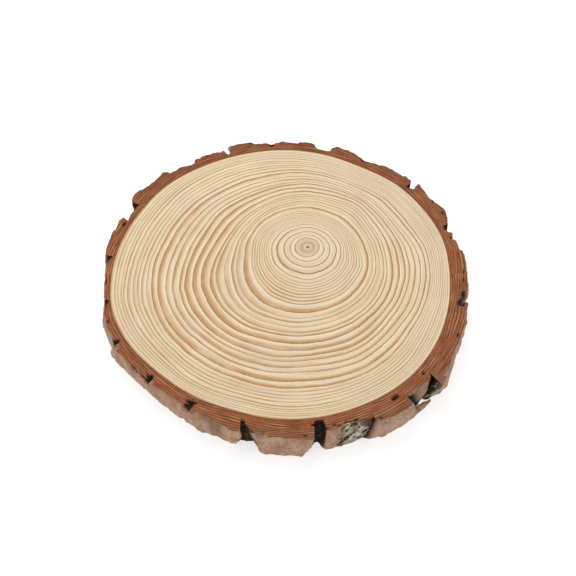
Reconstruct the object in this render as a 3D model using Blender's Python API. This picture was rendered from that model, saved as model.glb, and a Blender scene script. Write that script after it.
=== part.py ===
"""A wood slice: a flat round sawn across a pine log, with its bark still on.

Wood and bark grew as one piece, so the slice is one closed body.  Its outline is a list of
bark plates and the fissures between them, drawn round the log's middle.  The two sawn faces
are flat, and the bark leans in a little from the top face to the underside.

Units are metres and +Z is up.  The slice lies on Z = 0, centred on the origin.
"""
import math

import bmesh
import bpy

MM = 0.001

# Driving dimensions
THICKNESS = 23.0 * MM

# The edge of the wood: distance from the log's middle in mm, at even steps in degrees,
# anticlockwise from the right-hand side, six to a quarter
WOOD_EDGE_STEP = 15.0
WOOD_EDGE = (
    117.1, 118.5, 118.3, 118.3, 116.5, 117.5,
    117.6, 116.6, 116.1, 116.4, 114.9, 115.1,
    115.9, 117.4, 116.4, 114.4, 114.8, 115.4,
    118.3, 119.8, 120.5, 120.8, 119.5, 117.8,
)

# Corners of the bark at the top face, anticlockwise from the right-hand side, a row to a plate:
# angle round the log's middle in degrees, distance from it in mm.  A short distance between two
# long ones is a fissure.
BARK_PLATES = (
    ((0.0, 129.3), (9.3, 129.5), (10.0, 127.3), (13.7, 127.2)),
    ((14.6, 125.3), (17.3, 127.6), (18.0, 123.8), (20.4, 123.8), (20.9, 127.6)),
    ((26.3, 132.0), (31.0, 129.7), (35.0, 129.3), (39.6, 130.9), (39.9, 123.6)),
    ((42.0, 123.4), (42.6, 129.2), (47.0, 128.7), (52.5, 127.4), (59.0, 124.5)),
    ((61.8, 126.0), (69.8, 128.6), (71.9, 126.2), (72.4, 122.0)),
    ((77.4, 122.8), (78.4, 125.6), (82.0, 127.0), (89.5, 126.4), (93.2, 123.5)),
    ((95.2, 125.4), (99.2, 127.3), (107.2, 127.2), (108.0, 121.0)),
    ((109.4, 122.3), (110.5, 124.0), (113.0, 125.2), (119.6, 125.7), (121.5, 122.3)),
    ((123.5, 122.5), (126.0, 124.2), (130.3, 124.2)),
    ((132.0, 128.4), (135.0, 126.5), (141.3, 126.1), (145.0, 128.9), (147.3, 127.0), (148.2, 120.3)),
    ((155.4, 119.0), (156.1, 124.2), (160.9, 123.2), (165.0, 123.7), (171.5, 122.9), (172.6, 118.6)),
    ((174.0, 120.2), (180.0, 120.4), (189.0, 121.3), (191.0, 118.8)),
    ((193.0, 121.2), (199.0, 124.0), (203.0, 123.4), (206.6, 124.8), (207.6, 120.6)),
    ((208.6, 124.4), (211.0, 126.5), (215.0, 123.7), (220.0, 122.8), (224.8, 124.9), (225.4, 118.6)),
    ((226.2, 119.4), (226.8, 124.3), (232.5, 122.5), (240.0, 123.8), (241.4, 118.4)),
    ((242.8, 119.6), (243.3, 127.0), (247.5, 125.3), (252.4, 127.2), (258.8, 130.3), (259.0, 121.6)),
    ((260.8, 124.8), (262.3, 129.0), (264.8, 131.9), (270.0, 132.1), (278.9, 135.6), (280.4, 122.4)),
    ((283.6, 122.1), (283.9, 130.4), (290.0, 129.4), (297.2, 131.2)),
    ((297.9, 135.9), (303.0, 136.9), (308.2, 137.7), (309.3, 130.4), (317.6, 131.4), (318.0, 124.0)),
    ((319.9, 126.5), (320.2, 140.2), (325.5, 135.0), (330.0, 132.9), (336.5, 131.6)),
    ((341.8, 132.4), (348.6, 130.0), (348.8, 124.0)),
    ((352.8, 125.4), (353.4, 129.4)),
)

# How far down the side each row of corners lies (share of the thickness, from the underside up)
ROW_HEIGHTS = (0.0, 0.15, 0.4, 0.7, 1.0)

# The bark leans in towards the underside: everywhere by a little, and most at one quarter
LEAN_ALL_ROUND = 0.10
LEAN_MOST = 0.30
LEAN_ANGLE = 226.0
LEAN_SPREAD = 26.0

WOOD_COLOUR = (0.76, 0.58, 0.36, 1.0)
BARK_COLOUR = (0.36, 0.15, 0.07, 1.0)


def clear_scene():
    """Remove every object that the scene holds."""
    for item in list(bpy.data.objects):
        bpy.data.objects.remove(item, do_unlink=True)


def make_material(name, colour, roughness):
    """Return a Principled material for a natural, non-metallic surface."""
    material = bpy.data.materials.new(name)
    material.use_nodes = True
    shader = material.node_tree.nodes["Principled BSDF"]
    shader.inputs["Base Color"].default_value = colour
    shader.inputs["Roughness"].default_value = roughness
    shader.inputs["Metallic"].default_value = 0.0
    return material


def wood_radius(angle):
    """Distance from the log's middle to the edge of the wood, at an angle in degrees.

    A Catmull-Rom curve runs smoothly through the distances in WOOD_EDGE.
    """
    place = angle / WOOD_EDGE_STEP
    first = math.floor(place)
    t = place - first
    before, start, end, after = (WOOD_EDGE[(first + k) % len(WOOD_EDGE)] for k in (-1, 0, 1, 2))
    bend = 2.0 * before - 5.0 * start + 4.0 * end - after
    twist = 3.0 * (start - end) + after - before
    return (start + 0.5 * t * (end - before + t * (bend + t * twist))) * MM


def lean_share(angle):
    """Share of the bark's thickness that is lost by the time its side reaches the underside."""
    away = (angle - LEAN_ANGLE) / LEAN_SPREAD
    return LEAN_ALL_ROUND + LEAN_MOST * math.exp(-away * away)


def find_log_middle():
    """Return where the log's middle lies, so that the slice's box is centred on the origin."""
    corners = [corner for plate in BARK_PLATES for corner in plate]
    across = [distance * MM * math.cos(math.radians(angle)) for angle, distance in corners]
    along = [distance * MM * math.sin(math.radians(angle)) for angle, distance in corners]
    return (-(min(across) + max(across)) / 2.0, -(min(along) + max(along)) / 2.0)


LOG_MIDDLE = find_log_middle()


def point_on_log(angle, radius, height):
    """Return the point at an angle in degrees and a distance from the log's middle."""
    turn = math.radians(angle)
    return (LOG_MIDDLE[0] + radius * math.cos(turn), LOG_MIDDLE[1] + radius * math.sin(turn), height)


def add_bark_ring(mesh, share):
    """Add one row of bark corners, at a share of the thickness, and return its vertices."""
    ring = []
    for plate in BARK_PLATES:
        for angle, distance in plate:
            wood = wood_radius(angle)
            bark = distance * MM - wood
            radius = wood + bark * (1.0 - lean_share(angle) * (1.0 - share))
            ring.append(mesh.verts.new(point_on_log(angle, radius, share * THICKNESS)))
    return ring


def add_wood_ring(mesh, height):
    """Add the edge of the wood on one sawn face, a vertex to each bark corner."""
    ring = []
    for plate in BARK_PLATES:
        for angle, _ in plate:
            ring.append(mesh.verts.new(point_on_log(angle, wood_radius(angle), height)))
    return ring


def join_rings(mesh, lower, upper, slot):
    """Join two rings of the same length with a band of faces in one material slot."""
    count = len(lower)
    for index in range(count):
        after = (index + 1) % count
        face = mesh.faces.new((lower[index], lower[after], upper[after], upper[index]))
        face.material_index = slot


def build_wood_slice():
    """Build the slice: sawn wood above and below, bark round the side."""
    mesh = bmesh.new()
    rings = [add_bark_ring(mesh, share) for share in ROW_HEIGHTS]
    for lower, upper in zip(rings, rings[1:]):
        join_rings(mesh, lower, upper, slot=1)
    top_wood = add_wood_ring(mesh, THICKNESS)
    join_rings(mesh, rings[-1], top_wood, slot=1)
    mesh.faces.new(top_wood).material_index = 0
    base_wood = add_wood_ring(mesh, 0.0)
    join_rings(mesh, base_wood, rings[0], slot=1)
    mesh.faces.new(list(reversed(base_wood))).material_index = 0
    bmesh.ops.recalc_face_normals(mesh, faces=mesh.faces)

    data = bpy.data.meshes.new("wood_slice")
    mesh.to_mesh(data)
    mesh.free()
    data.materials.append(make_material("sawn_pine", WOOD_COLOUR, 0.65))
    data.materials.append(make_material("pine_bark", BARK_COLOUR, 0.9))
    piece = bpy.data.objects.new("wood_slice", data)
    bpy.context.scene.collection.objects.link(piece)
    return piece


clear_scene()
build_wood_slice()
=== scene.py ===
"""Looks of a wood slice: a flat round sawn across a pine log, with the bark left on.

The slice is one natural thing.  Its looks are built from a few surfaces that lie where the solid
lies: the sawn wood with its annual rings, the bark round it, and the crusts and flakes that sit
on the bark.  Shapes are worked out in millimetres and put into meshes in metres.
"""
import logging
import math
from dataclasses import dataclass
from enum import Enum

import bpy
import numpy as np
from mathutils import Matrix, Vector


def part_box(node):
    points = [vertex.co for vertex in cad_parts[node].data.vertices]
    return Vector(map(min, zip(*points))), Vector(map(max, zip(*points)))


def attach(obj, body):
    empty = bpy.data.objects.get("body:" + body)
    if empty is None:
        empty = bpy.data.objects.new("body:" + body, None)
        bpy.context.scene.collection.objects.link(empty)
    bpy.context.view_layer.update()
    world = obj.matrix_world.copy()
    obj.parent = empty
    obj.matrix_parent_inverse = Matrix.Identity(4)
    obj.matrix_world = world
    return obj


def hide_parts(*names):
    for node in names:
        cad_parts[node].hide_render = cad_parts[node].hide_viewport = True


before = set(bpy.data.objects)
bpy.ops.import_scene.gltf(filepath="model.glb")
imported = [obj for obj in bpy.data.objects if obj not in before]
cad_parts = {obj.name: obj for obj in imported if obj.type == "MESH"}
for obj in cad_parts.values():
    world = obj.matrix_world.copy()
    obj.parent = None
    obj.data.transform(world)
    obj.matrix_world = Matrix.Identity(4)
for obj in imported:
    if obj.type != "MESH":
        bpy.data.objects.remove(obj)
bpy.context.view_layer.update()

LOG = logging.getLogger("wood_slice")
MM = 0.001
NODE = "wood_slice"
BODY = "root"
THICKNESS = float(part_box(NODE)[1][2]) / MM

# Middle of the log and its pith, in mm from the slice's own middle
LOG_MIDDLE = np.array([-3.875, 3.786])
PITH = np.array([15.7, 27.7])

# The edge of the wood: distance from the log's middle in mm, every 15 degrees anticlockwise from
# the right-hand side, six to a quarter
WOOD_EDGE = np.array(
    [
        *(117.1, 118.5, 118.3, 118.3, 116.5, 117.5),
        *(117.6, 116.6, 116.1, 116.4, 114.9, 115.1),
        *(115.9, 117.4, 116.4, 114.4, 114.8, 115.4),
        *(118.3, 119.8, 120.5, 120.8, 119.5, 117.8),
    ]
)


class Slot(Enum):
    """Names of the material slots in the record."""

    SAWN_WOOD = "sawn_wood"
    BARK = "bark"
    LICHEN = "lichen"


# ---------------------------------------------------------------- numbers over whole arrays


def smooth_step(values: np.ndarray) -> np.ndarray:
    """Ease each value from 0 to 1 along 3t² - 2t³.

    Args:
        values: any numbers; below 0 gives 0 and above 1 gives 1.

    Returns:
        An array of the same shape.
    """
    t = np.clip(values, 0.0, 1.0)
    return t * t * (3.0 - 2.0 * t)


def lattice_values(cells: np.ndarray, seed: int) -> np.ndarray:
    """Give each corner of a cube lattice its own fixed value from -1 to 1.

    Each whole-number coordinate is multiplied by a large odd number, the products are mixed by
    exclusive-or, and the last 16 bits are read as a fraction.

    Args:
        cells: whole-number coordinates, shape (..., 3).
        seed: picks one of many patterns.

    Returns:
        Values, shape (...).
    """
    mixed = cells[..., 0] * 73856093 ^ cells[..., 1] * 19349663 ^ cells[..., 2] * 83492791
    mixed = (mixed ^ (seed * 2654435761)) & 0x7FFFFFFF
    mixed = (mixed ^ (mixed >> 13)) * 1274126177 & 0x7FFFFFFF
    return ((mixed >> 9) & 0xFFFF) / 32767.5 - 1.0


def noise(points: np.ndarray, cell: float, seed: int, octaves: int = 1) -> np.ndarray:
    """Smooth random height at each point, about -1 to 1.

    The eight lattice corners round a point are blended with the 3t² - 2t³ ease on each axis.
    Each further octave has half the cell and half the height.

    Args:
        points: places in mm, shape (..., 3).
        cell: size of the largest lattice cell in mm.
        seed: picks one of many patterns.
        octaves: how many sizes of lattice are added.

    Returns:
        Heights, shape (...).
    """
    total = np.zeros(points.shape[:-1])
    for octave in range(octaves):
        scaled = points / (cell * 0.5**octave) + 31.7 * octave
        base = np.floor(scaled).astype(np.int64)
        blend = smooth_step(scaled - base)
        value = np.zeros(points.shape[:-1])
        for corner in range(8):
            step = np.array([corner & 1, (corner >> 1) & 1, corner >> 2])
            weight = np.prod(np.where(step == 1, blend, 1.0 - blend), axis=-1)
            value += weight * lattice_values(base + step, seed + octave)
        total += value * 0.5**octave
    return total


def smooth_loop(values: np.ndarray, spread: float) -> np.ndarray:
    """Blur a closed loop of samples with a bell curve, by way of its waves.

    Args:
        values: samples round the loop, first axis; other axes are carried along.
        spread: width of the bell in samples.

    Returns:
        The blurred loop.
    """
    waves = np.fft.rfft(values, axis=0)
    turns = np.fft.rfftfreq(len(values))
    fade = np.exp(-2.0 * (math.pi * turns * spread) ** 2)
    fade = fade.reshape((-1,) + (1,) * (values.ndim - 1))
    return np.fft.irfft(waves * fade, n=len(values), axis=0)


def unit(directions: np.ndarray) -> np.ndarray:
    """Scale each vector on the last axis to length 1."""
    length = np.linalg.norm(directions, axis=-1, keepdims=True)
    return directions / np.maximum(length, 1e-9)


def degrees_apart(angles: np.ndarray, angle: float) -> np.ndarray:
    """Angle in degrees between each direction and one direction, the short way round."""
    return np.abs(np.mod(angles - angle + 180.0, 360.0) - 180.0)


def round_log(distance: np.ndarray, turn: np.ndarray) -> np.ndarray:
    """Points at distances in mm and directions in radians from the log's middle."""
    return distance[:, None] * np.stack([np.cos(turn), np.sin(turn)], axis=1)


def outward_of(loop: np.ndarray) -> np.ndarray:
    """Outward direction at each point of a closed outline, eased over the points beside it."""
    ahead = np.roll(loop, -1, axis=0) - np.roll(loop, 1, axis=0)
    return unit(smooth_loop(np.stack([ahead[:, 1], -ahead[:, 0]], axis=1), 1.2))


def wood_radius(angle: np.ndarray) -> np.ndarray:
    """Distance in mm from the log's middle to the edge of the wood.

    A Catmull-Rom curve runs smoothly through the distances in WOOD_EDGE.

    Args:
        angle: direction round the log's middle, in radians.

    Returns:
        Distances, same shape.
    """
    place = np.asarray(angle) / math.tau * len(WOOD_EDGE)
    first = np.floor(place).astype(int)
    t = place - first
    before, start, end, after = (WOOD_EDGE[(first + k) % len(WOOD_EDGE)] for k in (-1, 0, 1, 2))
    bend = 2.0 * before - 5.0 * start + 4.0 * end - after
    twist = 3.0 * (start - end) + after - before
    return start + 0.5 * t * (end - before + t * (bend + t * twist))


# ---------------------------------------------------------------- meshes


def grid_quads(rows: int, columns: int, wrap_rows: bool) -> tuple[np.ndarray, np.ndarray]:
    """Number the corners of a grid that closes on itself from its last column to its first.

    Args:
        rows: rows of points.
        columns: points in a row.
        wrap_rows: whether the last row also joins the first.

    Returns:
        The four point numbers of each face, and the four UV numbers of each face, where the UV
        grid has one more column, and one more row if the rows wrap, so that it has no seam jump.
    """
    count = rows if wrap_rows else rows - 1
    row, column = np.meshgrid(np.arange(count), np.arange(columns), indexing="ij")
    row, column = row.ravel(), column.ravel()
    corners = ((0, 0), (1, 0), (1, 1), (0, 1))
    points = [((row + i) % rows) * columns + (column + j) % columns for i, j in corners]
    places = [(row + i) * (columns + 1) + column + j for i, j in corners]
    return np.stack(points, axis=1), np.stack(places, axis=1)


def closed_tube(
    grid: np.ndarray, ends: tuple[tuple[float, ...], tuple[float, ...]], path: np.ndarray
) -> tuple[np.ndarray, np.ndarray, np.ndarray, np.ndarray]:
    """Close a grid of rings at both ends with a fan to one point.

    Args:
        grid: points in mm, shape (rows, columns, 3); the columns go round and join up.
        ends: the point that closes the first row and the point that closes the last.
        path: how far along a texture each row lies, from 0 to 1.

    Returns:
        All points, the four-sided faces, the three-sided faces, and a UV pair for every face
        corner: how far round, and how far along.
    """
    rows, columns = grid.shape[:2]
    quads, places = grid_quads(rows, columns, wrap_rows=False)
    points = np.concatenate([grid.reshape(-1, 3), np.array(ends)])
    here = np.arange(columns)
    after = (here + 1) % columns
    last = (rows - 1) * columns
    centre = np.full(columns, rows * columns)
    fans = np.concatenate(
        [np.stack([centre, here, after], axis=1), np.stack([centre + 1, last + after, last + here], axis=1)]
    )
    around = np.arange(columns + 1) / columns
    pairs = np.stack(np.meshgrid(around, path), axis=-1).reshape(-1, 2)
    between = (here + 0.5) / columns
    first_fan = np.stack([between, here / columns, (here + 1) / columns], axis=1)
    last_fan = np.stack([between, (here + 1) / columns, here / columns], axis=1)
    heights = np.array([[round(path[0]), path[0], path[0]], [round(path[-1]), path[-1], path[-1]]])
    fan_pairs = np.stack(
        [np.concatenate([first_fan, last_fan]), np.repeat(heights, columns, axis=0)], axis=-1
    )
    return points, quads, fans, np.concatenate([pairs[places].reshape(-1, 2), fan_pairs.reshape(-1, 2)])


def closed_slab(front: np.ndarray, back: np.ndarray) -> tuple[np.ndarray, np.ndarray]:
    """Close two open grids of the same shape into one thin body.

    The grids are laid side by side, the back one in reverse, so that one grid wraps round the
    body by its columns; its first and last rows are then sewn shut, front to back.

    Args:
        front: points in mm, shape (rows, columns, 3), facing out.
        back: points behind the front ones.

    Returns:
        All points and the four-sided faces.
    """
    rows, columns = front.shape[:2]
    grid = np.concatenate([front, back[:, ::-1]], axis=1)
    quads, _ = grid_quads(rows, 2 * columns, wrap_rows=False)
    step = np.arange(columns - 1)
    across = 2 * columns - 1 - step
    last = (rows - 1) * 2 * columns
    top = np.stack([step, step + 1, across - 1, across], axis=1)
    bottom = np.stack([step, across, across - 1, step + 1], axis=1) + last
    return grid.reshape(-1, 3), np.concatenate([quads, top, bottom])


def add_piece(
    name: str,
    points: np.ndarray,
    quads: np.ndarray,
    fans: np.ndarray | None = None,
    uv_maps: dict[str, np.ndarray] | None = None,
    attributes: dict[str, np.ndarray] | None = None,
) -> bpy.types.Object:
    """Make a smooth-shaded mesh object at the origin from whole arrays.

    Args:
        name: the piece's name.
        points: places in mm, shape (n, 3).
        quads: point numbers of the four-sided faces.
        fans: point numbers of three-sided faces, if any.
        uv_maps: for each map, one pair for every face corner, quads first.
        attributes: for each name, one number for every point.

    Returns:
        The new object.
    """
    mesh = bpy.data.meshes.new(name)
    faces = quads.tolist() + (fans.tolist() if fans is not None else [])
    mesh.from_pydata((points * MM).tolist(), [], faces)
    for map_name, pairs in (uv_maps or {}).items():
        layer = mesh.uv_layers.new(name=map_name)
        layer.uv.foreach_set("vector", pairs.astype(np.float32).ravel())
    for attribute_name, values in (attributes or {}).items():
        attribute = mesh.attributes.new(attribute_name, "FLOAT", "POINT")
        attribute.data.foreach_set("value", values.astype(np.float32).ravel())
    mesh.shade_smooth()
    mesh.update()
    piece = bpy.data.objects.new(name, mesh)
    bpy.context.scene.collection.objects.link(piece)
    return piece


def declare(piece: bpy.types.Object) -> None:
    """Hang a piece on its body, hide the plain part that it stands for, and log its faces."""
    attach(piece, BODY)
    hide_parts(NODE)
    LOG.info("%s: %d faces", piece.name, len(piece.data.polygons))


# ---------------------------------------------------------------- materials


def linear(hex_colour: str) -> tuple[float, float, float, float]:
    """Turn an sRGB hex colour such as #EBD6B4 into Blender's linear colour."""
    shades = [int(hex_colour[i : i + 2], 16) / 255.0 for i in (1, 3, 5)]
    lit = [s / 12.92 if s <= 0.04045 else ((s + 0.055) / 1.055) ** 2.4 for s in shades]
    return (lit[0], lit[1], lit[2], 1.0)


@dataclass
class Paint:
    """A material being drawn: its node tree and the shader that ends it."""

    name: str

    def __post_init__(self) -> None:
        """Start an empty node tree with a Principled shader and an output."""
        self.material = bpy.data.materials.new(self.name)
        self.material.use_nodes = True
        self.tree = self.material.node_tree
        self.tree.nodes.clear()
        self.shader = self.tree.nodes.new("ShaderNodeBsdfPrincipled")
        output = self.tree.nodes.new("ShaderNodeOutputMaterial")
        self.tree.links.new(self.shader.outputs["BSDF"], output.inputs["Surface"])

    def node(self, kind: str, settings: dict | None = None, **inputs: object) -> bpy.types.Node:
        """Add a node with its settings, and set or link its inputs.

        Args:
            kind: the node's type without the ShaderNode prefix.
            settings: values for the node's own properties.
            **inputs: an input's name, with spaces as underscores, or its number after `i`; the
                value is a socket to link from, or a plain value.

        Returns:
            The node.
        """
        node = self.tree.nodes.new("ShaderNode" + kind)
        for key, value in (settings or {}).items():
            setattr(node, key, value)
        for key, value in inputs.items():
            place = int(key[1:]) if key[0] == "i" and key[1:].isdigit() else key.replace("_", " ")
            self.join(node.inputs[place], value)
        return node

    def math(self, work: str, *values: object, clamp: bool = False) -> bpy.types.NodeSocket:
        """Work out one sum of numbers or sockets and return its socket."""
        inputs = {f"i{place}": value for place, value in enumerate(values)}
        return self.node("Math", {"operation": work, "use_clamp": clamp}, **inputs).outputs[0]

    def remap(
        self, value: object, low: float, high: float, to_low: float, to_high: float
    ) -> bpy.types.NodeSocket:
        """Stretch a range of values onto another, held at its ends, and return the socket."""
        node = self.node(
            "MapRange", Value=value, From_Min=low, From_Max=high, To_Min=to_low, To_Max=to_high
        )
        return node.outputs[0]

    def mix(self, share: object, first: object, second: object) -> bpy.types.NodeSocket:
        """Blend two colours by a share and return the socket."""
        return self.node("Mix", {"data_type": "RGBA"}, i0=share, i6=first, i7=second).outputs[2]

    def join(self, socket: bpy.types.NodeSocket, value: object) -> None:
        """Link a socket from another, or give it a plain value."""
        if isinstance(value, bpy.types.NodeSocket):
            self.tree.links.new(value, socket)
        else:
            socket.default_value = value

    def finish(self, roughness: object, **inputs: object) -> bpy.types.Material:
        """Set the shader's own inputs and return the material."""
        self.join(self.shader.inputs["Roughness"], roughness)
        for key, value in inputs.items():
            self.join(self.shader.inputs[key.replace("_", " ")], value)
        return self.material


@dataclass(frozen=True)
class SawnPine:
    """Pine end grain, band-sawn across and lightly sanded: bare, matt and dry.

    Each ring starts pale and soft in spring, turns tan towards autumn and ends in a thin hard
    line, which stops at once where the next spring's wood begins.
    """

    first: str = "#FFF1D9"
    spring: str = "#F3DFBB"
    autumn: str = "#CCA678"
    resinous: str = "#CF9D66"
    line: str = "#97693E"
    old_line: str = "#836347"
    heart: str = "#C9AC8C"
    pith: str = "#7C5A3E"
    roughness: float = 0.62

    def material(self) -> bpy.types.Material:
        """Draw the rings from the ring number that each point carries.

        Returns:
            The material, which reads the point attributes ring, strength, share and warmth.
        """
        paint = Paint("sawn_pine")
        place = paint.node("TexCoord").outputs["Object"]
        ring = paint.node("Attribute", {"attribute_name": "ring"}).outputs["Fac"]
        strength = paint.node("Attribute", {"attribute_name": "strength"}).outputs["Fac"]
        share = paint.node("Attribute", {"attribute_name": "share"}).outputs["Fac"]
        warmth = paint.node("Attribute", {"attribute_name": "warmth"}).outputs["Fac"]

        # The saw leaves the ring lines slightly ragged: a 0.9 mm grain shifts them a little.
        ragged = paint.node("TexNoise", Vector=place, Scale=1100.0, Detail=2.0)
        shift = paint.math("MULTIPLY_ADD", ragged.outputs["Fac"], 0.16, -0.08)
        phase = paint.math("FRACT", paint.math("ADD", ring, shift))
        rise = paint.node(
            "MapRange",
            {"interpolation_type": "SMOOTHSTEP"},
            Value=phase,
            From_Min=paint.math("SUBTRACT", 1.0, share),
            From_Max=paint.math("MULTIPLY_ADD", share, -0.35, 1.0),
        ).outputs[0]
        fall = paint.remap(phase, 0.95, 1.0, 1.0, 0.0)
        old = paint.remap(ring, 4.0, 8.0, 1.0, 0.0)
        thin_from = paint.math("MULTIPLY_ADD", old, -0.02, 0.77)
        thin = paint.math("MULTIPLY", paint.math("SUBTRACT", phase, thin_from), 6.5, clamp=True)

        # Slow patches, about 12 mm across, make a ring line fade and return along its length.
        patches = paint.node("TexNoise", Vector=place, Scale=85.0, Detail=2.0).outputs["Fac"]
        patchy = paint.remap(patches, 0.3, 0.7, 0.75, 1.15)
        worn = paint.math("MULTIPLY", fall, patchy)
        marked = paint.math("MULTIPLY", worn, strength)
        band = paint.math("MULTIPLY", rise, marked, clamp=True)
        edge = paint.math("MULTIPLY", thin, marked, clamp=True)

        # Fine lines run with the rings, a third of a ring apart: noise in the ring number.
        split = paint.node("SeparateXYZ", Vector=place)
        beside = paint.node(
            "CombineXYZ",
            X=paint.math("MULTIPLY", ring, 2.6),
            Y=paint.math("MULTIPLY", split.outputs["X"], 22.0),
            Z=paint.math("MULTIPLY", split.outputs["Y"], 22.0),
        )
        fine = paint.node("TexNoise", Vector=beside.outputs[0], Scale=1.0, Detail=3.0, Roughness=0.65)
        fine_line = paint.remap(fine.outputs["Fac"], 0.38, 0.66, -0.14, 0.40)
        band = paint.math("ADD", band, fine_line, clamp=True)

        tan = paint.mix(warmth, linear(self.autumn), linear(self.resinous))
        first = paint.math("MULTIPLY", paint.remap(phase, 0.0, 0.22, 1.0, 0.0), strength)
        wood = paint.mix(paint.math("MULTIPLY", first, 0.8), linear(self.spring), linear(self.first))
        wood = paint.mix(band, wood, tan)
        line = paint.mix(old, linear(self.line), linear(self.old_line))
        line_share = paint.math("MULTIPLY_ADD", old, 0.05, 0.72)
        wood = paint.mix(paint.math("MULTIPLY", edge, line_share), wood, line)
        # The few oldest rings round the pith have darkened a little towards pink-grey.
        wood = paint.mix(paint.remap(ring, 1.9, 2.08, 0.42, 0.0), wood, linear(self.heart))
        wood = paint.mix(paint.remap(ring, 0.12, 0.30, 0.9, 0.0), wood, linear(self.pith))

        # Cut cell ends give a fine dry grain, drawn 0.5 mm across so that it shows.
        grain = paint.node("TexNoise", Vector=place, Scale=2000.0, Detail=2.0, Roughness=0.6).outputs["Fac"]
        broad = paint.node("TexNoise", Vector=place, Scale=28.0, Detail=3.0).outputs["Fac"]
        fine_tone = paint.remap(grain, 0.3, 0.7, 0.85, 1.11)
        broad_tone = paint.remap(broad, 0.3, 0.7, 0.965, 1.025)
        tone = paint.math("MULTIPLY", fine_tone, broad_tone)
        colour = paint.node("HueSaturation", Value=tone, Color=wood).outputs[0]

        relief = paint.math("MULTIPLY_ADD", band, 0.6, grain)
        bump = paint.node("Bump", Height=relief, Strength=0.35, Distance=0.00012)
        return paint.finish(
            self.roughness,
            Base_Color=colour,
            Normal=bump.outputs[0],
            Specular_IOR_Level=0.3,
        )


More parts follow.
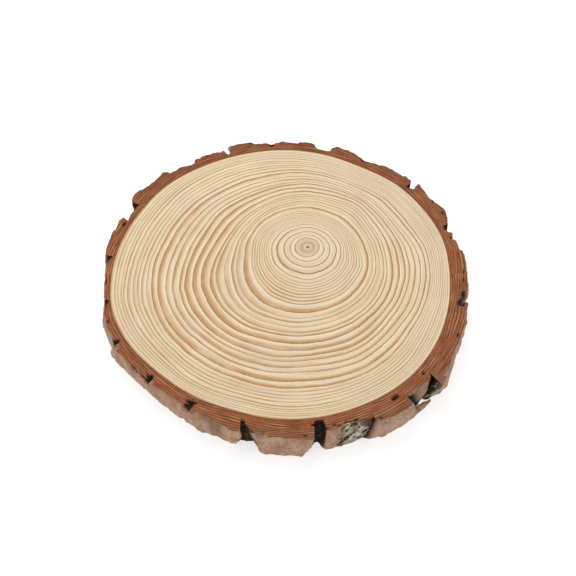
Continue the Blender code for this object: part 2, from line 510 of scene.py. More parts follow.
@dataclass(frozen=True)
class PineBark:
    """Scots-pine bark: corky red-brown layers, weathered to pinkish grey on the outside.

    A saw cut shows the layers as thin dark lines about a millimetre apart; the outside is dull
    and smooth on each scale.  Deep in the fissures and pits the bark is given painted shade,
    nearly black.
    """

    layer_line: str = "#582A1A"
    layer_dark: str = "#87472D"
    layer_mid: str = "#AA6540"
    layer_light: str = "#CC8F62"
    layer_grey: str = "#7D6050"
    bast: str = "#8F4F30"
    outside: str = "#BD9B85"
    outside_warm: str = "#AE866C"
    outside_dark: str = "#8C705D"
    # Painted shade for the fissures and pits: near black, and a warmer brown in patches; fissure_warm also
    # draws the thin cracks on the outside
    fissure: str = "#1C120E"
    fissure_warm: str = "#6A4232"
    roughness: float = 0.88

    def material(self) -> bpy.types.Material:
        """Draw the cut layers and the weathered side, with painted shade where the shade attribute is set.

        Returns:
            The material, which reads the UV map bark_flow and the point attributes cut and shade.
        """
        paint = Paint("pine_bark")
        place = paint.node("TexCoord").outputs["Object"]
        flow = paint.node("UVMap", {"uv_map": "bark_flow"}).outputs["UV"]
        cut = paint.node("Attribute", {"attribute_name": "cut"}).outputs["Fac"]
        shade = paint.node("Attribute", {"attribute_name": "shade"}).outputs["Fac"]

        layers = self._layers(paint, flow, place)
        side = self._outside(paint, place)
        colour = paint.mix(cut, side, layers)
        # Painted shade: the shade attribute blends the colour towards near black, warmer brown in patches
        # about 3 mm across.
        hollow = paint.node("TexNoise", Vector=place, Scale=320.0, Detail=2.0).outputs["Fac"]
        warmth = paint.remap(hollow, 0.5, 0.68, 0.0, 0.8)
        deep = paint.mix(warmth, linear(self.fissure), linear(self.fissure_warm))
        colour = paint.mix(shade, colour, deep)
        rough = paint.node("TexNoise", Vector=place, Scale=900.0, Detail=4.0, Roughness=0.7).outputs["Fac"]
        bump = paint.node("Bump", Height=rough, Strength=0.7, Distance=0.0005)
        return paint.finish(
            self.roughness,
            Base_Color=colour,
            Normal=bump.outputs[0],
            Specular_IOR_Level=0.2,
        )

    def _layers(
        self, paint: Paint, flow: bpy.types.NodeSocket, place: bpy.types.NodeSocket
    ) -> bpy.types.NodeSocket:
        """Colour of the sawn cork: thin dark lines that run round the log, 1.8 mm apart.

        The distance across the bark, times 560 lines to the metre and moved by slow noise,
        counts the lines.  A line is darkest where the count is whole, and breaks up along its
        length.  Between lines the cork is streaked by two sizes of stretched noise.
        """
        split = paint.node("SeparateXYZ", Vector=flow)
        bend = paint.node("Mapping", Vector=flow, Scale=(24.0, 70.0, 1.0)).outputs[0]
        bent = paint.node("TexNoise", {"noise_dimensions": "2D"}, Vector=bend, Scale=1.0, Detail=1.0)
        straight = paint.math("MULTIPLY", split.outputs["Y"], 560.0)
        count = paint.math("MULTIPLY_ADD", bent.outputs["Fac"], 2.6, straight)
        beside = paint.math("ABSOLUTE", paint.math("SUBTRACT", paint.math("FRACT", count), 0.5))
        line = paint.remap(beside, 0.16, 0.42, 0.0, 1.0)

        long = paint.node(
            "CombineXYZ",
            X=paint.math("MULTIPLY", split.outputs["X"], 48.0),
            Y=paint.math("MULTIPLY", count, 0.9),
        ).outputs[0]
        flat = {"noise_dimensions": "2D"}
        pieces = paint.node("TexNoise", flat, Vector=long, Scale=1.0, Detail=2.0).outputs["Fac"]
        line = paint.math("MULTIPLY", line, paint.remap(pieces, 0.36, 0.58, 0.25, 0.9))
        thin = paint.node(
            "CombineXYZ",
            X=paint.math("MULTIPLY", split.outputs["X"], 90.0),
            Y=paint.math("MULTIPLY", count, 3.1),
        ).outputs[0]
        streaks = paint.node(
            "TexNoise", {"noise_dimensions": "2D"}, Vector=thin, Scale=1.0, Detail=2.0, Roughness=0.6
        ).outputs["Fac"]
        lightness = paint.remap(pieces, 0.4, 0.64, 0.0, 1.0)
        cork = paint.mix(lightness, linear(self.layer_mid), linear(self.layer_light))
        cork = paint.mix(paint.remap(streaks, 0.45, 0.68, 0.0, 0.85), cork, linear(self.layer_dark))
        cork = paint.mix(line, cork, linear(self.layer_line))

        inner = paint.remap(split.outputs["Y"], 0.0002, 0.0011, 0.7, 0.0)
        layers = paint.mix(inner, cork, linear(self.bast))
        # Old bark is greyer towards the outside, in patches.
        patches = paint.node("TexNoise", Vector=place, Scale=90.0, Detail=3.0).outputs["Fac"]
        towards_skin = paint.remap(split.outputs["Y"], 0.006, 0.016, 0.0, 0.75)
        outer = paint.math("MULTIPLY", towards_skin, paint.remap(patches, 0.44, 0.6, 0.0, 1.0))
        layers = paint.mix(outer, layers, linear(self.layer_grey))
        tone = paint.remap(patches, 0.3, 0.7, 0.84, 1.1)
        speck = paint.node("TexNoise", Vector=place, Scale=1500.0, Detail=2.0).outputs["Fac"]
        tone = paint.math("MULTIPLY", tone, paint.remap(speck, 0.3, 0.7, 0.8, 1.16))
        # The colour is darker towards the back of the slice.
        far = paint.remap(paint.node("SeparateXYZ", Vector=place).outputs["Y"], 0.03, 0.12, 1.0, 0.84)
        return paint.node("HueSaturation", Value=paint.math("MULTIPLY", tone, far), Color=layers).outputs[0]

    def _outside(self, paint: Paint, place: bpy.types.NodeSocket) -> bpy.types.NodeSocket:
        """Colour of the weathered side: soft patches, faint streaks up the log, thin cracks."""
        tall = paint.node("Mapping", Vector=place, Scale=(1.0, 1.0, 0.45)).outputs[0]
        patches = paint.node("TexNoise", Vector=tall, Scale=130.0, Detail=3.0).outputs["Fac"]
        warmth = paint.remap(patches, 0.38, 0.6, 0.0, 1.0)
        colour = paint.mix(warmth, linear(self.outside), linear(self.outside_warm))
        streaks = paint.node("TexNoise", Vector=tall, Scale=520.0, Detail=4.0, Roughness=0.6).outputs["Fac"]
        colour = paint.mix(paint.remap(streaks, 0.5, 0.72, 0.0, 0.65), colour, linear(self.outside_dark))
        warp = paint.node("TexNoise", Vector=place, Scale=110.0, Detail=3.0)
        vectors = {"data_type": "VECTOR"}
        moved = paint.node("Mix", vectors, i0=0.012, i4=tall, i5=warp.outputs["Color"]).outputs[1]
        cells = paint.node("TexVoronoi", {"feature": "DISTANCE_TO_EDGE"}, Vector=moved, Scale=75.0)
        crack = paint.remap(cells.outputs["Distance"], 0.0, 0.025, 0.5, 0.0)
        broken = paint.math("MULTIPLY", crack, paint.remap(patches, 0.42, 0.55, 0.1, 1.0))
        return paint.mix(broken, colour, linear(self.fissure_warm))


@dataclass(frozen=True)
class CrustLichen:
    """Dry crust lichen: pale grey-green curls with yellow-green patches, and painted shade between the
    curls.
    """

    pale: str = "#CFCBBC"
    green: str = "#A39D80"
    yellow: str = "#B5A968"
    # Painted shade in the low ground between the ridges
    hollow: str = "#3C2E26"
    roughness: float = 0.95

    def material(self) -> bpy.types.Material:
        """Draw the crust.

        Returns:
            The material, which reads the point attributes ridge and young.
        """
        paint = Paint("crust_lichen")
        place = paint.node("TexCoord").outputs["Object"]
        ridge = paint.node("Attribute", {"attribute_name": "ridge"}).outputs["Fac"]
        patches = paint.node("TexNoise", Vector=place, Scale=170.0, Detail=2.0).outputs["Fac"]
        crust = paint.mix(paint.remap(patches, 0.44, 0.62, 0.0, 1.0), linear(self.pale), linear(self.green))
        young = paint.node("Attribute", {"attribute_name": "young"}).outputs["Fac"]
        crust = paint.mix(paint.math("MULTIPLY", young, 0.85), crust, linear(self.yellow))
        # Painted shade: the lower the crust lies between its ridges, the darker brown it is drawn.
        colour = paint.mix(paint.remap(ridge, 0.3, 0.85, 1.0, 0.0), crust, linear(self.hollow))
        speck = paint.node("TexNoise", Vector=place, Scale=1400.0, Detail=3.0).outputs["Fac"]
        value = paint.remap(speck, 0.3, 0.7, 0.8, 1.15)
        colour = paint.node("HueSaturation", Value=value, Color=colour).outputs[0]
        bump = paint.node("Bump", Height=speck, Strength=0.8, Distance=0.0004)
        return paint.finish(
            self.roughness, Base_Color=colour, Normal=bump.outputs[0], Specular_IOR_Level=0.15
        )


# ---------------------------------------------------------------- sawn wood


# Ages at which the tree's outline is known, counted in rings from the pith
GUIDE_AGES = (0, 2, 4, 6, 14, 15, 17, 20, 21, 23, 26, 28, 33, 38)
# How far the wood had grown at each age, in hundredths of the way from pith to bark, at every
# 15 degrees round the pith from the right-hand side
GUIDES = (
    (0.0,) * 24,
    (8.3, 8.8, 9.1, 9.6, 9.7, 9.6, 9.4, 9.2, 8.8, 8.5, 7.9, 7.6,
     7.2, 6.9, 6.8, 6.7, 6.6, 6.6, 6.5, 6.5, 6.7, 6.9, 7.5, 7.9),
    (16.1, 16.2, 16.4, 16.4, 16.5, 16.3, 15.7, 15.2, 14.5, 14.2, 13.9, 13.6,
     13.1, 12.7, 12.6, 12.6, 12.7, 12.7, 12.9, 13.3, 13.9, 14.6, 15.5, 16.0),
    (24.0, 24.0, 24.0, 24.0, 23.8, 23.6, 22.7, 21.9, 21.2, 20.8, 20.4, 20.2,
     19.8, 19.2, 19.2, 19.4, 19.7, 19.9, 20.5, 20.9, 21.4, 22.3, 23.2, 23.8),
    (37.4, 37.5, 36.9, 37.3, 37.7, 36.7, 35.8, 35.2, 34.3, 33.0, 32.0, 31.0,
     29.8, 29.3, 30.4, 32.6, 34.9, 35.8, 36.0, 36.4, 37.0, 37.3, 38.9, 38.8),
    (42.1, 41.8, 42.0, 42.6, 43.0, 42.2, 41.0, 39.3, 38.0, 36.6, 35.0, 33.9,
     33.1, 33.0, 35.2, 38.3, 40.4, 41.0, 41.0, 41.3, 41.6, 42.0, 43.1, 43.2),
    (47.6, 47.4, 47.9, 49.7, 49.9, 48.5, 46.8, 44.9, 43.0, 41.0, 38.8, 38.5,
     38.5, 39.2, 41.5, 45.1, 46.7, 46.7, 46.5, 46.6, 47.0, 47.8, 48.8, 48.7),
    (55.4, 54.9, 55.8, 57.8, 57.9, 55.5, 53.3, 51.5, 49.0, 46.9, 45.5, 45.1,
     46.0, 49.2, 52.6, 54.8, 55.5, 54.7, 54.5, 54.7, 55.5, 56.3, 56.8, 56.3),
    (59.2, 58.8, 59.5, 61.2, 61.6, 59.4, 57.3, 55.2, 53.0, 51.1, 49.8, 49.8,
     50.8, 54.3, 56.9, 59.5, 59.7, 58.9, 58.8, 59.0, 59.3, 60.2, 60.8, 60.5),
    (67.7, 66.5, 66.6, 67.6, 68.2, 67.0, 65.2, 62.8, 60.8, 59.5, 59.0, 58.8,
     59.4, 62.5, 65.5, 67.4, 67.6, 67.2, 65.9, 67.0, 67.0, 66.9, 68.4, 69.1),
    (78.2, 74.6, 73.9, 74.4, 75.1, 74.4, 72.9, 71.0, 69.6, 68.7, 68.3, 68.8,
     70.1, 72.1, 74.4, 75.8, 76.2, 76.2, 74.9, 76.7, 76.4, 77.0, 79.0, 79.8),
    (85.3, 82.4, 81.9, 81.7, 80.7, 79.8, 79.5, 78.8, 78.3, 77.3, 76.9, 77.4,
     78.3, 79.7, 81.5, 83.5, 83.9, 84.0, 83.7, 84.4, 84.3, 83.5, 85.4, 86.3),
    (94.2, 93.0, 91.9, 92.2, 91.0, 90.8, 91.0, 91.3, 91.7, 91.5, 90.3, 89.9,
     90.2, 91.6, 92.1, 92.7, 94.0, 93.4, 93.7, 93.4, 93.5, 92.2, 92.6, 93.8),
    (100.0,) * 24,
)

# How strongly each stretch of rings is marked: its last ring, how dark its autumn wood is, how
# much of each ring it takes, and how orange it is
RING_MARKS = (
    (1, 0.45, 0.40, 0.0), (2, 1.10, 0.22, 0.0), (3, 0.75, 0.30, 0.0), (4, 0.85, 0.28, 0.2),
    (5, 0.95, 0.28, 0.1), (6, 0.75, 0.26, 0.1), (7, 0.45, 0.35, 0.2), (9, 0.85, 0.40, 0.2),
    (10, 0.60, 0.45, 0.2), (13, 0.95, 0.42, 0.3), (14, 0.90, 0.45, 0.6),
    (15, 0.95, 0.55, 1.0), (16, 0.45, 0.50, 0.3),
    (17, 0.90, 0.50, 0.8), (18, 0.50, 0.50, 0.3), (19, 0.80, 0.45, 0.5), (21, 1.00, 0.55, 0.9),
    (22, 0.85, 0.55, 0.7), (23, 0.95, 0.50, 0.8), (25, 0.85, 0.45, 0.7), (26, 0.90, 0.35, 0.4),
    (28, 1.00, 0.45, 0.9), (30, 0.65, 0.40, 0.3), (32, 0.75, 0.40, 0.3), (34, 0.85, 0.38, 0.3),
    (38, 0.70, 0.42, 0.2),
)


@dataclass
class SawnWood:
    """The wood of the slice: both sawn faces and the hidden rim under the bark."""

    columns: int = 360
    top_phases: tuple[float, ...] = (0.3, 0.62, 0.88, 1.0)
    base_phases: tuple[float, ...] = (0.6, 1.0)
    ring_relief: float = 0.10

    def __post_init__(self) -> None:
        """Work out where the bark begins in every direction from the pith."""
        log_angle = np.linspace(0.0, math.tau, 2880, endpoint=False)
        radius = wood_radius(log_angle)
        edge_x = LOG_MIDDLE[0] + radius * np.cos(log_angle) - PITH[0]
        edge_y = LOG_MIDDLE[1] + radius * np.sin(log_angle) - PITH[1]
        turn = np.mod(np.arctan2(edge_y, edge_x), math.tau)
        order = np.argsort(turn)
        self.edge_turn = turn[order]
        self.edge_distance = np.hypot(edge_x, edge_y)[order]

    def reach(self, turn: np.ndarray) -> np.ndarray:
        """Distance in mm from the pith to the bark in each direction, in radians."""
        return np.interp(np.mod(turn, math.tau), self.edge_turn, self.edge_distance, period=math.tau)

    def growth(self, ages: np.ndarray, turn: np.ndarray) -> np.ndarray:
        """How far the wood had grown, as a share of the way from pith to bark.

        Round the pith each guide is carried smoothly by its own waves (its Fourier series), and
        between two guides the rings are spaced evenly.

        Args:
            ages: ring numbers, shape (rows,).
            turn: directions round the pith in radians, shape (columns,).

        Returns:
            Shares from 0 to 1, shape (rows, columns).
        """
        guides = np.array(GUIDES) / 100.0
        samples = guides.shape[1]
        waves = np.fft.rfft(guides, axis=1) / samples
        count = np.arange(waves.shape[1])
        weight = np.where((count == 0) | (count == samples // 2), 1.0, 2.0)
        basis = np.exp(1j * count[:, None] * turn[None, :]) * weight[:, None]
        outlines = (waves @ basis).real
        place = np.interp(ages, GUIDE_AGES, np.arange(len(GUIDE_AGES)))
        lower = np.minimum(place.astype(int), len(GUIDE_AGES) - 2)
        part = (place - lower)[:, None]
        return outlines[lower] * (1.0 - part) + outlines[lower + 1] * part

    def face_rows(self, phases: tuple[float, ...]) -> tuple[np.ndarray, ...]:
        """Lay the rows of one sawn face, from the pith outwards, a few to each ring.

        A ring's last row belongs to the ring that it ends, so that each ring keeps its own marks
        up to its edge.

        Args:
            phases: where the rows lie in a ring, ending at 1.

        Returns:
            Ages, autumn strength, autumn share and warmth of the rows.
        """
        rings = GUIDE_AGES[-1]
        whole = np.repeat(np.arange(rings), len(phases))
        phase = np.tile(phases, rings)
        marks = np.array(RING_MARKS)
        mark = np.searchsorted(marks[:, 0], whole + 1)
        rng = np.random.default_rng(7)
        uneven = rng.uniform(-0.2, 0.2, rings + 1)
        uneven[list(GUIDE_AGES)] = 0.0
        drift = uneven[whole] * (1.0 - phase) + uneven[whole + 1] * phase
        swing = rng.uniform(0.85, 1.15, rings)[whole]
        return (
            whole + phase + drift,
            whole + phase,
            marks[mark, 1] * swing,
            marks[mark, 2],
            marks[mark, 3],
        )

    def build(self) -> bpy.types.Object:
        """Build the closed disc.

        A point is the pith plus its share of the way to the bark, in its direction.  The rows
        follow the rings out over the top face, down the rim and back in under the slice.

        Returns:
            The dressed piece.
        """
        turn = np.linspace(0.0, math.tau, self.columns, endpoint=False)
        faces = [self._face(turn, self.top_phases, top=True), self._face(turn, self.base_phases, top=False)]
        faces[1] = {name: values[::-1] for name, values in faces[1].items()}
        grid = np.concatenate([face["points"] for face in faces])
        path = np.concatenate([face["path"] for face in faces])
        ends = ((*PITH, THICKNESS - self.ring_relief), (*PITH, 0.02))
        points, quads, fans, bake = closed_tube(grid, ends, path)
        attributes = {}
        for name in ("ring", "strength", "share", "warmth"):
            values = np.concatenate([face[name] for face in faces])
            attributes[name] = np.append(values.ravel(), [values[0, 0], values[-1, 0]])
        attributes["ring"][-2:] = 0.0
        piece = add_piece("sawn_wood", points, quads, fans, {"OFBake": bake}, attributes)
        piece.data.materials.append(SawnPine().material())
        return piece

    def _face(self, turn: np.ndarray, phases: tuple[float, ...], top: bool) -> dict[str, np.ndarray]:
        """Lay one sawn face from the pith outwards.

        Args:
            turn: directions round the pith in radians.
            phases: where rows lie in a ring, ending at 1.
            top: whether this is the upper face, whose hard autumn wood stands a little proud.

        Returns:
            Points, bake path and ring marks, each with a row to a row of the face.
        """
        ages, label, dark, part, warm = self.face_rows(phases)
        reach = self.reach(turn)
        grown = self.growth(ages, turn)
        flat = np.empty(grown.shape + (3,))
        flat[..., 0] = grown * reach * np.cos(turn)
        flat[..., 1] = grown * reach * np.sin(turn)
        flat[..., 2] = 1.6 * ages[:, None]
        waver = 0.35 * noise(flat, 9.0, 3, 2) + 0.3 * noise(flat, 26.0, 5)
        grown = grown + waver / reach * np.clip(grown * 6.0, 0.0, 1.0) * (1.0 - grown**12)
        points = np.zeros(grown.shape + (3,))
        points[..., 0] = PITH[0] + grown * reach * np.cos(turn)
        points[..., 1] = PITH[1] + grown * reach * np.sin(turn)
        if top:
            phase = label - np.floor(label - 1e-6)
            proud = dark[:, None] * smooth_step((phase[:, None] - 0.4) / 0.5) * self.ring_relief
            points[..., 2] = THICKNESS - self.ring_relief + proud
        else:
            points[..., 2] = 0.02
        # The side of the log that grew fastest has the broadest and warmest autumn wood.
        fast = 0.5 + 0.5 * np.cos(turn - math.radians(222.0))[None, :]
        rows = np.ones_like(grown)
        return {
            "points": points,
            "path": np.mean(grown, axis=1) * 0.49 if top else 1.0 - np.mean(grown, axis=1) * 0.49,
            "ring": rows * label[:, None],
            "strength": np.clip(dark[:, None] * (1.2 - 0.3 * fast), 0.0, 1.2) * rows,
            "share": np.clip(part[:, None] * (0.95 + 0.75 * fast**2), 0.15, 0.85) * rows,
            "warmth": np.clip(warm[:, None] * (0.4 + 0.7 * fast), 0.0, 1.0) * rows,
        }


# ---------------------------------------------------------------- bark


# Corners of the bark at the top face, anticlockwise from the right-hand side, a row or two to a
# plate: angle round the log's middle in degrees, distance from it in mm.  Where the angle turns
# back, one plate overhangs a fissure.
PLATES = (
    # right, going up and back
    ((0.0, 129.3), (4.0, 129.6), (9.3, 129.5), (10.0, 127.3), (13.7, 127.2), (14.5, 125.3)),
    ((15.8, 126.2), (17.4, 127.7), (17.7, 124.8), (19.3, 123.3), (20.8, 124.5), (20.7, 127.3)),
    ((22.0, 128.8), (24.5, 130.4), (26.3, 132.0), (28.3, 130.8), (31.0, 129.7), (34.0, 129.2)),
    ((37.0, 129.9), (39.8, 130.9), (39.2, 127.0), (38.5, 124.8), (39.4, 123.6), (41.0, 122.9)),
    ((42.2, 123.4), (41.4, 125.0), (42.4, 129.2), (43.6, 128.4), (44.8, 129.5), (45.6, 128.2)),
    ((49.5, 128.2), (52.5, 127.4), (55.0, 126.5), (57.0, 125.2), (59.0, 124.5), (60.8, 124.7)),
    ((61.8, 126.0), (65.0, 126.7), (67.5, 127.9), (69.8, 128.6), (71.0, 127.9), (72.1, 125.8)),
    # back
    ((72.3, 122.4), (74.3, 121.4), (76.0, 122.3), (77.6, 122.8), (78.4, 125.6), (79.3, 126.6)),
    ((82.0, 127.0), (86.0, 126.4), (89.5, 126.4), (91.0, 125.0), (93.2, 123.5), (95.2, 125.4)),
    ((97.5, 125.7), (99.2, 127.3), (103.0, 127.6), (107.0, 127.2), (108.2, 126.4), (107.8, 122.0)),
    ((108.6, 120.4), (109.4, 122.3), (110.0, 124.6), (110.9, 123.7), (113.0, 125.2)),
    ((116.5, 124.8), (119.6, 125.7), (120.9, 124.3), (121.2, 122.6), (122.3, 121.5), (123.2, 122.5)),
    ((124.3, 122.9), (126.0, 124.2), (129.8, 124.1), (130.5, 124.4), (130.9, 127.0), (132.0, 128.4)),
    ((133.0, 127.2), (136.0, 126.4), (141.3, 126.1), (142.8, 128.0), (145.0, 128.9), (146.5, 128.3)),
    # left, coming forward
    ((148.2, 125.0), (147.3, 122.5), (147.6, 120.8), (149.5, 119.9), (152.5, 119.7), (155.0, 118.8)),
    ((156.8, 118.0), (157.2, 119.4), (155.8, 121.2), (155.1, 123.2), (156.3, 124.4), (158.5, 124.2)),
    ((160.9, 122.9), (161.6, 124.0), (165.0, 123.7), (169.5, 123.4), (172.2, 122.4), (172.0, 118.6)),
    ((172.9, 117.8), (173.8, 120.0), (176.5, 120.5), (180.0, 120.3), (184.0, 120.8), (189.0, 121.3)),
    ((190.8, 120.9), (190.8, 119.2), (191.6, 118.4), (192.5, 119.8), (193.0, 121.2), (196.0, 122.6)),
    ((198.5, 123.9), (199.2, 123.0), (200.2, 123.4), (201.5, 124.4), (203.2, 123.4), (205.5, 124.0)),
    ((206.8, 124.6), (207.1, 121.4), (207.9, 120.1), (208.5, 122.0), (208.6, 124.9), (209.8, 126.6)),
    ((211.3, 126.6), (212.5, 124.9), (215.0, 123.7), (218.2, 123.5), (219.2, 122.3), (220.6, 122.6)),
    ((222.0, 123.6), (224.0, 124.8), (225.1, 124.9), (225.2, 118.9), (225.8, 118.0), (226.2, 119.8)),
    ((226.7, 124.4), (228.6, 123.4), (232.5, 122.5), (236.0, 122.8), (239.8, 123.8), (240.4, 121.5)),
    ((241.2, 120.4), (241.1, 118.8), (242.0, 117.6), (242.6, 119.0), (242.8, 121.5), (243.2, 124.0)),
    # front
    ((242.7, 126.0), (243.4, 127.0), (245.5, 125.9), (247.5, 125.3), (250.0, 125.7), (252.4, 127.2)),
    ((254.7, 128.6), (256.7, 130.2), (259.2, 130.2), (258.3, 126.8), (256.9, 124.3), (257.2, 122.7)),
    ((258.6, 121.2), (259.8, 121.6), (259.9, 123.6), (261.0, 125.6), (261.7, 127.6), (262.6, 129.6)),
    ((264.8, 131.9), (267.5, 131.4), (270.0, 132.1), (274.0, 132.9), (276.5, 134.2), (278.9, 135.6)),
    ((279.8, 133.6), (280.0, 128.0), (280.1, 123.2), (281.0, 121.9), (283.5, 121.9), (283.5, 126.0)),
    ((283.3, 130.4), (284.5, 130.3), (287.0, 129.7), (290.0, 129.4), (293.0, 129.9), (295.0, 130.6)),
    ((296.6, 131.6), (297.4, 130.2), (297.7, 132.4), (297.5, 135.2), (299.0, 136.1), (300.5, 135.9)),
    ((303.0, 136.9), (306.0, 137.6), (308.2, 137.7), (309.2, 135.5), (309.3, 133.0), (308.5, 130.8)),
    ((309.6, 129.9), (311.2, 130.2), (314.0, 130.6), (316.5, 131.0), (318.3, 131.7), (319.1, 131.2)),
    ((319.6, 129.4), (320.6, 127.8), (321.8, 127.4), (322.6, 128.6), (321.7, 131.2), (320.9, 134.0)),
    ((320.2, 136.4), (319.4, 138.4), (318.9, 140.6), (320.2, 140.0), (321.5, 138.6)),
    ((324.0, 136.6), (325.5, 135.0), (327.5, 133.3), (330.0, 132.9), (331.7, 132.2), (334.0, 132.7)),
    ((336.5, 131.6), (339.5, 131.5), (341.8, 132.4), (343.3, 131.4), (346.0, 130.6), (348.6, 130.4)),
    ((349.2, 129.2), (348.1, 127.4), (347.2, 125.8), (345.8, 124.4), (345.8, 122.6), (347.0, 121.8)),
    ((348.4, 123.4), (350.4, 124.3), (352.4, 125.3), (353.5, 127.0), (353.0, 129.0), (355.0, 129.4)),
)


# Corners of the bark's outline and where they have got to at the underside: direction and
# distance from the log's middle at the top face, then the same at the underside.  Some fissures
# slant, and most have closed up by then.
FEET = (
    (184.0, 120.8, 184.0, 120.6), (190.8, 119.2, 190.0, 121.5), (193.0, 121.2, 191.2, 124.2),
    (196.0, 122.6, 195.0, 124.4), (198.5, 123.9, 198.7, 124.4), (199.2, 123.0, 199.3, 123.2),
    (205.5, 124.0, 202.6, 123.0), (207.9, 120.1, 203.0, 122.4), (208.6, 124.9, 203.5, 124.9),
    (211.3, 126.6, 207.2, 124.5), (215.0, 123.7, 212.6, 122.2), (219.2, 122.3, 216.0, 120.9),
    (225.1, 124.9, 220.3, 119.6), (225.8, 118.0, 221.0, 118.6), (226.7, 124.4, 223.8, 119.4),
    (228.6, 123.4, 225.0, 120.8), (232.5, 122.5, 229.6, 121.0), (236.0, 122.8, 232.8, 119.7),
    (239.8, 123.8, 236.9, 121.2), (241.1, 118.8, 238.6, 119.9), (242.7, 126.0, 240.2, 120.9),
    (245.5, 125.9, 243.3, 122.3), (250.0, 125.7, 248.3, 123.5), (252.4, 127.2, 251.5, 124.2),
    (254.7, 128.6, 254.0, 124.9), (256.7, 130.2, 255.4, 126.0), (259.2, 130.2, 257.4, 126.8),
    (258.3, 126.8, 257.8, 123.6), (257.2, 122.7, 258.2, 122.8), (259.8, 121.6, 261.8, 122.6),
    (261.0, 125.6, 262.8, 123.4), (262.6, 129.6, 263.4, 125.5), (264.8, 131.9, 264.6, 129.2),
    (267.5, 131.4, 266.0, 130.2), (270.0, 132.1, 270.0, 130.9), (274.0, 132.9, 272.8, 131.6),
    (276.5, 134.2, 275.2, 132.6), (278.9, 135.6, 276.3, 133.7), (279.8, 133.6, 277.3, 130.6),
    (280.0, 128.0, 279.4, 127.0), (281.0, 121.9, 280.6, 124.8), (283.5, 121.9, 281.6, 124.6),
    (283.5, 126.0, 282.4, 128.4), (283.3, 130.4, 283.2, 130.6), (287.0, 129.7, 285.8, 131.0),
    (290.0, 129.4, 289.0, 131.0), (293.0, 129.9, 292.0, 130.4), (297.4, 130.2, 294.6, 129.6),
    (297.7, 132.4, 295.3, 131.2), (297.5, 135.2, 296.1, 132.8), (300.5, 135.9, 299.4, 134.7),
    (303.0, 136.9, 303.0, 135.3), (306.0, 137.6, 306.1, 135.5), (308.2, 137.7, 310.0, 135.1),
    (309.2, 135.5, 313.0, 133.8), (308.5, 130.8, 313.6, 129.4), (314.0, 130.6, 315.4, 128.7),
    (318.3, 131.7, 316.8, 128.4), (320.6, 127.8, 317.1, 124.6), (322.6, 128.6, 317.5, 130.8),
    (321.5, 138.6, 321.6, 135.1), (325.5, 135.0, 325.2, 135.0), (330.0, 132.9, 330.0, 132.0),
    (336.5, 131.6, 336.0, 129.8), (343.3, 131.4, 343.3, 129.9), (348.6, 130.4, 345.6, 129.6),
    (347.2, 125.8, 347.0, 124.0), (347.0, 121.8, 349.4, 123.0), (352.4, 125.3, 351.2, 126.6),
    (355.0, 129.4, 356.0, 128.6),
)
# The far side runs straight down: direction, distance from the log's middle at the underside
FAR_FEET = (
    (0.0, 128.4), (8.0, 128.0), (12.0, 126.2), (17.0, 124.6), (20.0, 124.4), (25.0, 129.0),
    (31.0, 129.2), (37.0, 128.8), (40.0, 125.4), (43.0, 127.2), (50.0, 127.0), (57.0, 124.4),
    (62.0, 125.0), (69.0, 127.0), (73.0, 122.8), (79.0, 125.5), (86.0, 125.2), (93.0, 122.6),
    (99.0, 126.0), (106.0, 125.8), (109.0, 121.5), (115.0, 124.0), (121.0, 122.0), (126.0, 123.2),
    (131.0, 125.4), (141.0, 125.0), (146.0, 126.8), (150.0, 120.6), (156.0, 121.6), (161.0, 122.2),
    (168.0, 122.2), (173.0, 119.2), (180.0, 119.8),
)


# How far a fissure fills up just below the top face: direction in degrees, share from 0 to 1
CLOSING = (
    (0.0, 0.0), (66.0, 0.2), (80.0, 0.2), (100.0, 0.6), (130.0, 0.6), (140.0, 0.1), (160.0, 0.1),
    (170.0, 0.7), (190.0, 0.8), (245.0, 0.85), (250.0, 0.0),
)


@dataclass(frozen=True)
class Chip:
    """A bit broken off a plate's lower edge.

    Sizes: the directions that it lies between in degrees, how high it reaches at each of them
    and how deep it is in mm.
    """

    first: float
    last: float
    first_height: float
    last_height: float
    depth: float


@dataclass(frozen=True)
class Nick:
    """A bit broken off a plate's upper edge.

    Sizes: direction and half width in degrees, drop below the top face in mm, and how much of
    the bark's thickness it takes.
    """

    angle: float
    width: float
    drop: float
    share: float


@dataclass(frozen=True)
class Pit:
    """A small hole in the sawn face of the bark, with painted shade inside it.

    Sizes: direction in degrees, distance from the log's middle, half length round the log, half
    length across the bark and depth in mm.
    """

    angle: float
    radius: float
    length: float
    width: float
    depth: float


CHIPS = (
    Chip(146.5, 153.0, 7.0, 5.0, 3.0),
    Chip(95.0, 101.0, 3.0, 6.0, 2.5),
    Chip(56.0, 63.0, 6.0, 4.0, 2.5),
    Chip(25.0, 31.0, 5.0, 6.0, 3.5),
    Chip(338.0, 343.0, 6.0, 4.0, 3.0),
)
NICKS = (
    Nick(265.0, 2.2, 2.6, 0.34),
    Nick(285.0, 1.3, 1.2, 0.16),
    Nick(259.0, 0.8, 1.5, 0.2),
    Nick(244.6, 1.2, 1.4, 0.3),
    Nick(241.5, 1.8, 1.6, 0.4),
    Nick(226.5, 1.5, 1.8, 0.5),
    Nick(209.5, 1.6, 2.0, 0.5),
    Nick(312.0, 3.0, 2.4, 0.25),
    Nick(323.5, 2.0, 2.0, 0.2),
    Nick(298.5, 1.2, 1.4, 0.2),
    Nick(108.5, 1.4, 1.2, 0.5),
    Nick(350.5, 1.4, 1.2, 0.3),
)
PITS = (
    Pit(306.5, 126.0, 2.4, 1.2, 4.0),
    Pit(207.7, 121.4, 1.2, 1.0, 3.0),
    Pit(225.0, 120.6, 1.6, 0.9, 3.0),
    Pit(318.6, 125.2, 1.1, 0.8, 3.0),
    Pit(242.2, 119.6, 1.8, 1.1, 4.0),
    Pit(348.2, 125.6, 1.6, 2.0, 5.0),
    Pit(158.0, 119.6, 1.6, 0.8, 3.0),
    Pit(39.5, 125.2, 1.2, 1.2, 3.0),
)


